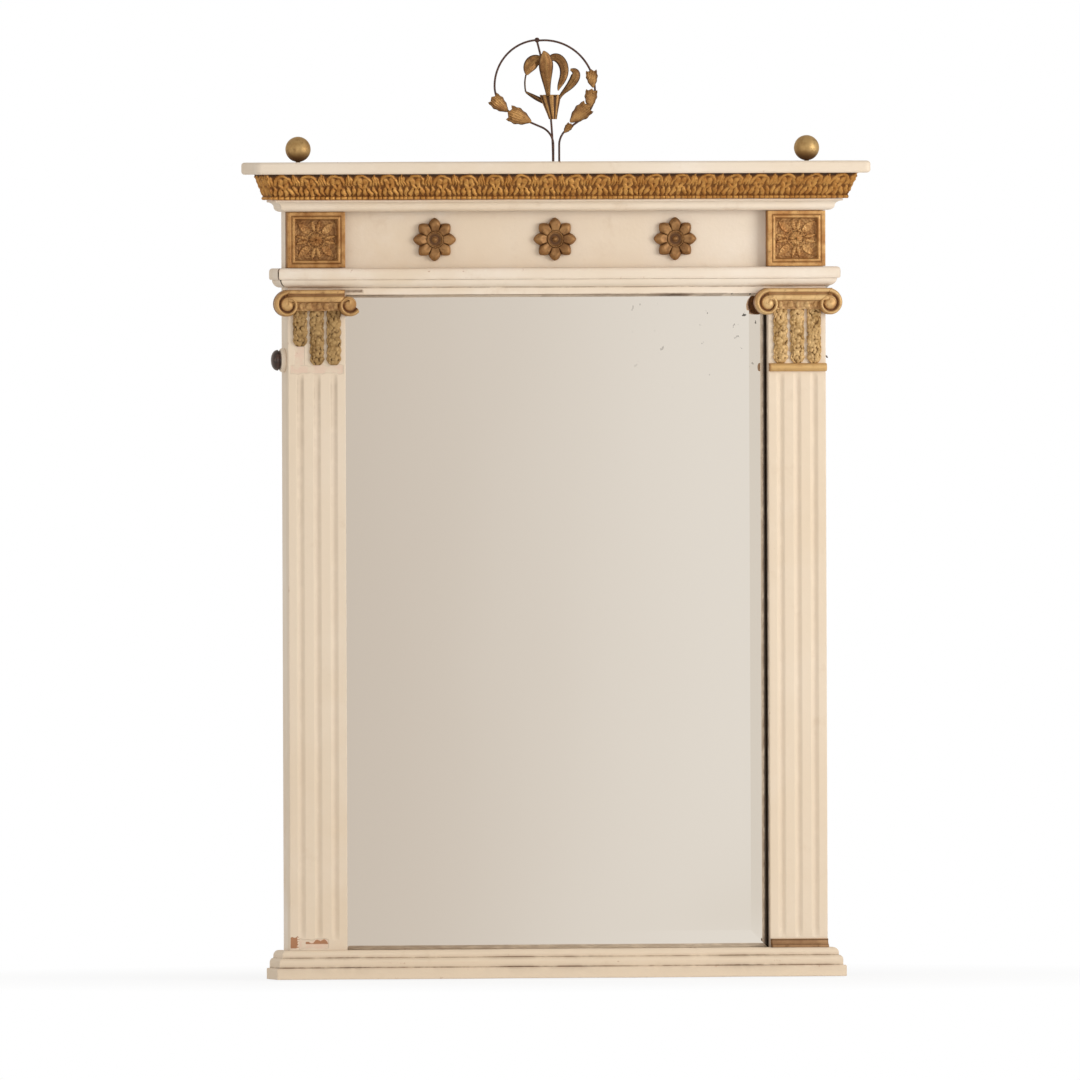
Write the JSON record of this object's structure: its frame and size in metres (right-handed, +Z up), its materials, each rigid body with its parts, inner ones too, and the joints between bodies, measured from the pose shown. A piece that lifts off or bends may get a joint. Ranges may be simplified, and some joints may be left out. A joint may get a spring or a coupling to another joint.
{
  "type": "pier mirror",
  "caption": "Painted and parcel-gilt pier mirror with fluted pilasters, Ionic capitals, a leaf-carved cornice, ball finials and a wire flower crest over a bevelled plate",
  "frame": {"origin": "on the wall plane at the foot of the mirror, on its centre line", "axes": "+X to the viewer's right along the wall, +Y into the wall, +Z up"},
  "size_m": [0.843, 0.1065, 1.2647],
  "materials": {
    "cream_paint": "old cream paint over gesso on pine, worn and stained",
    "gilding": "old gold leaf over red bole on carved wood, dark in the hollows",
    "dull_gilding": "browned gilding on carved wood",
    "gilt_sheet": "gilt sheet metal, tarnished",
    "iron_wire": "dark red-brown iron wire",
    "iron": "dull iron",
    "brass": "tarnished brass",
    "mirror_glass": "silvered plate glass with a ground bevel, lightly spotted",
    "bare_pine": "bare aged pine",
    "dark_wood": "dark polished turned wood",
    "dark_stain": "dark stained pine strip"
  },
  "bodies": {
    "frame": {"frieze_board": "cream_paint", "architrave_front": "cream_paint", "architrave_left_return": "cream_paint", "architrave_right_return": "cream_paint", "bed_mould_front": "cream_paint", "bed_mould_left_return": "cream_paint", "bed_mould_right_return": "cream_paint", "top_board": "cream_paint", "left_pilaster": "cream_paint", "right_pilaster": "cream_paint", "base_front": "cream_paint", "base_left_return": "cream_paint", "base_right_return": "cream_paint", "knob_collar": "cream_paint", "left_stile": "cream_paint", "right_stile": "cream_paint", "leaf_mould_front": "gilding", "leaf_mould_left_return": "gilding", "leaf_mould_right_return": "gilding", "left_corner_block": "gilding", "right_corner_block": "gilding", "left_capital": "gilding", "right_capital": "gilding", "left_husks": "gilding", "right_husks": "gilding", "right_necking_bar": "gilding", "right_foot_moulding": "gilding", "left_ball": "gilding", "right_ball": "gilding", "left_rosette": "dull_gilding", "middle_rosette": "dull_gilding", "right_rosette": "dull_gilding", "finial_flower": "gilt_sheet", "finial_left_leaves": "gilt_sheet", "finial_right_leaves": "gilt_sheet", "finial_stem": "iron_wire", "finial_left_wire": "iron_wire", "finial_right_wire": "iron_wire", "finial_knot": "iron_wire", "backboard_nails": "iron", "side_pin": "iron", "hanger_screws": "iron", "left_hanger_strap": "brass", "right_hanger_strap": "brass", "mirror_plate": "mirror_glass", "bottom_rail": "bare_pine", "top_rail": "bare_pine", "tenon_pegs": "bare_pine", "cornice_core": "bare_pine", "wall_batten": "bare_pine", "backboard_left": "bare_pine", "backboard_middle": "bare_pine", "backboard_right": "bare_pine", "glazing_blocks": "bare_pine", "side_knob": "dark_wood", "glass_spacers": "dark_stain"},
    "left_ring": {"left_hanger_ring": "brass"},
    "right_ring": {"right_hanger_ring": "brass"}
  },
  "joints": [
    {"name": "left_ring_swing", "type": "hinge", "parent": "frame", "child": "left_ring", "pos_m": [-0.3435, -0.00615, 0.8], "axis": [1, 0, 0], "range_deg": [0, 180]},
    {"name": "right_ring_swing", "type": "hinge", "parent": "frame", "child": "right_ring", "pos_m": [0.3435, -0.00615, 0.8], "axis": [1, 0, 0], "range_deg": [0, 180]}
  ]
}
